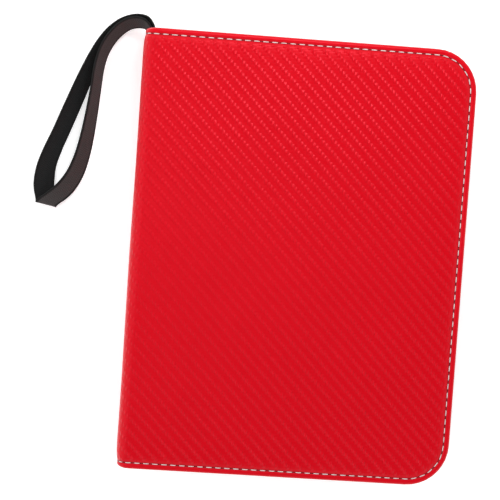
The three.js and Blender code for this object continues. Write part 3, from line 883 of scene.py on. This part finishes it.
WEB_WIDE = 12.6
WEB_THICK = 1.2
STRAP_ROUTE = [
    ((-93.6, 126.9, 12), (0.16, 0.16, 0.97)), ((-96.6, 128.6, 11.8), (0.18, 0.34, 0.92)),
    ((-100.6, 129, 11.3), (0.08, 0.47, 0.88)), ((-105, 127.8, 10.6), (-0.12, 0.47, 0.87)),
    ((-109.3, 124.8, 9.8), (-0.28, 0.4, 0.87)), ((-113.2, 120.5, 9), (-0.37, 0.3, 0.88)),
    ((-116.5, 115.1, 8.2), (-0.42, 0.2, 0.89)), ((-118.8, 109, 7.8), (-0.43, 0.11, 0.9)),
    ((-120.4, 101.2, 7.4), (-0.43, 0.04, 0.9)), ((-121.4, 90, 7), (-0.44, 0, 0.9)),
    ((-122.7, 77, 6.8), (-0.5, 0, 0.87)), ((-124.6, 62, 6.6), (-0.58, 0.02, 0.81)),
    ((-126.9, 50, 6.4), (-0.66, 0.07, 0.75)), ((-130.3, 39.6, 6.2), (-0.74, 0.16, 0.65)),
    ((-135.2, 31.4, 6.1), (-0.82, 0.25, 0.51)), ((-140.5, 26, 5.9), (-0.92, 0.24, 0.3)),
    ((-143.9, 23.3, 5.3), (-0.97, 0.2, 0.12)), ((-145.6, 21.6, 4.3), (-0.98, 0.18, 0.05)),
    ((-146, 21, 3), (-0.98, 0.18, 0)), ((-146.1, 21.7, 1.9), (-0.98, 0.18, 0)),
    ((-146.5, 24, 1.3), (-0.98, 0.17, 0.04)), ((-147.5, 28.2, 1.9), (-0.97, 0.15, 0.16)),
    ((-147.9, 34.2, 3), (-0.93, 0.13, 0.34)), ((-146.9, 43.5, 4.3), (-0.82, 0.14, 0.55)),
    ((-143.8, 53.3, 5.1), (-0.75, 0.17, 0.64)), ((-139.8, 63.5, 5.5), (-0.7, 0.2, 0.69)),
    ((-135.2, 76, 5.7), (-0.68, 0.22, 0.7)), ((-130.6, 88.5, 6), (-0.64, 0.22, 0.73)),
    ((-126.4, 100, 6.5), (-0.55, 0.22, 0.8)), ((-122.4, 110.2, 7), (-0.42, 0.22, 0.88)),
    ((-118.6, 117.8, 7.3), (-0.3, 0.26, 0.92)), ((-113.8, 124.1, 7.9), (-0.21, 0.3, 0.93)),
    ((-108, 128.8, 8.8), (-0.09, 0.32, 0.94)), ((-101.4, 131, 9.9), (0.06, 0.36, 0.93)),
    ((-95.7, 130.6, 11.3), (0.18, 0.32, 0.93)), ((-92.2, 128.3, 12), (0.16, 0.16, 0.97)),
]
# Both ends run into the binder beside each other.
ROOT_NEAR = [
    ((-86.0, 115.9, 12.4), (0, 0, 1)), ((-88.2, 119.3, 12.4), (0, 0, 1)),
    ((-90.7, 122.9, 12.4), (0.06, 0.06, 0.99)),
]
ROOT_FAR = [
    ((-89.4, 124.1, 12.4), (0.06, 0.06, 0.99)),
    ((-87, 120.4, 12.4), (0, 0, 1)), ((-84.9, 117.0, 12.4), (0, 0, 1)),
]


def smooth_line(rows, per_span):
    """Points and upward ways along a smooth curve through the rows."""
    found = []
    for i in range(len(rows) - 1):
        near = [rows[max(0, min(len(rows) - 1, i + k))] for k in (-1, 0, 1, 2)]
        for step in range(per_span):
            t = step / per_span
            weights = (
                -t / 2 + t * t - t**3 / 2,
                1 - 2.5 * t * t + 1.5 * t**3,
                t / 2 + 2 * t * t - 1.5 * t**3,
                (t**3 - t * t) / 2,
            )
            pair = []
            for part in (0, 1):
                pair.append(sum((Vector(row[part]) * w for row, w in zip(near, weights)), Vector()))
            found.append(pair)
    return found + [[Vector(rows[-1][0]), Vector(rows[-1][1])]]


def webbing_strap():
    """The loop, its middle line and its length in metres. The selvages stand a little proud."""
    rows = smooth_line(ROOT_NEAR + STRAP_ROUTE + ROOT_FAR, 5)
    # A quarter of the section, from an edge to the middle, in shares of the half width and half thickness.
    quarter = [(1, 0), (0.985, 0.7), (0.93, 1.0), (0.86, 0.86), (0.5, 0.84)]
    face = quarter + [(0, 0.84)] + [(-wide, thick) for wide, thick in reversed(quarter)]
    section = face + [(-wide, -thick) for wide, thick in face[1:-1]]
    points, uvs, inner, centres, done = [], [], [], [], 0.0
    for i, (middle, up) in enumerate(rows):
        ahead = (rows[min(i + 1, len(rows) - 1)][0] - rows[max(i - 1, 0)][0]).normalized()
        across = up.normalized()
        normal = ahead.cross(across).normalized()
        done += (middle - rows[i - 1][0]).length if i else 0.0
        centres.append(middle * MM)
        for wide, thick in section:
            points.append(tuple(middle + across * (wide * WEB_WIDE / 2) + normal * (thick * WEB_THICK / 2)))
            uvs.append((done, wide * WEB_WIDE / 2))
            inner.append(1.0 if thick > 0.05 else 0.0)
    count = len(section)
    faces = strip_faces(len(rows), count, closed=True)
    faces += [tuple(range(count))[::-1], tuple(range(len(points) - count, len(points)))]
    made = make_mesh("wrist_strap_webbing", points, faces, uvs, attributes={"inner": inner})
    made.data.materials.append(WEBBING)
    return made, centres, done * MM


strap, strap_path, strap_long = webbing_strap()
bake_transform(strap)
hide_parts("strap_loop", "strap_root")


# Camera, light and floor

VIEW_X = -0.085
VIEW_Y = 0.052
VIEW_AWAY = 0.9  # above the front cover
VIEW_LENS = 114.9
VIEW_TURNS = (-3.3, -3.43, 4.05)  # degrees
camera_data = bpy.data.cameras.new("camera")
camera_data.sensor_width = 36.0
camera_data.lens = VIEW_LENS
camera_data.clip_end = 50
camera = bpy.data.objects.new("camera", camera_data)
bpy.context.scene.collection.objects.link(camera)
camera.location = (VIEW_X, VIEW_Y, THICK * MM + VIEW_AWAY)
camera.rotation_euler = [math.radians(turn) for turn in VIEW_TURNS]
bpy.context.scene.camera = camera


def area_light(name, place, target, size, power):
    """A white rectangular lamp at a place in metres, facing the target."""
    data = bpy.data.lights.new(name, "AREA")
    data.shape = "RECTANGLE"
    data.size, data.size_y = size
    data.energy = power
    made = bpy.data.objects.new(name, data)
    made.location = place
    made.rotation_euler = (Vector(target) - Vector(place)).to_track_quat("-Z", "Y").to_euler()
    bpy.context.scene.collection.objects.link(made)


area_light("key", (0.02, 0.29, 0.34), (0.0, 0.05, 0.03), (0.18, 0.05), 0.58)
area_light("strip_left", (-0.56, 0.0, 1.25), (-0.09, 0, 0.03), (0.09, 1.4), 3.2)
area_light("fill_left", (-1.2, 0.3, 1.0), (0, 0, 0), (0.9, 0.9), 2)
world = bpy.data.worlds.new("soft_white")
world.use_nodes = True
sky = world.node_tree
sky.nodes["Background"].inputs["Color"].default_value = (1, 1, 1, 1)
upward = sky.nodes.new("ShaderNodeSeparateXYZ")
sky.links.new(sky.nodes.new("ShaderNodeTexCoord").outputs["Generated"], upward.inputs[0])
# The ceiling is dark over the table and white all round, so that the flat cover keeps its deep colour.
ceiling = sky.nodes.new("ShaderNodeMapRange")
ceiling.interpolation_type = "SMOOTHSTEP"
for key, value in (("From Min", 0.74), ("From Max", 0.93), ("To Min", 1.20), ("To Max", 0.03)):
    ceiling.inputs[key].default_value = value
sky.links.new(upward.outputs["Z"], ceiling.inputs["Value"])
sky.links.new(ceiling.outputs["Result"], sky.nodes["Background"].inputs["Strength"])
bpy.context.scene.world = world
bpy.context.scene.view_settings.view_transform = "Standard"

REACH = 3000
corners = [(-REACH, -REACH, 0), (REACH, -REACH, 0), (REACH, REACH, 0), (-REACH, REACH, 0)]
floor = make_mesh("floor", corners, [(0, 1, 2, 3)])
floor.location.z = -0.0002
paper = Graph("white_floor")
paper.finish(
    (0.93, 0.93, 0.93, 1), 0.6, emission_color=(1, 1, 1, 1), emission_strength=0.4, specular_ior_level=0.0
)
floor.data.materials.append(paper.material)
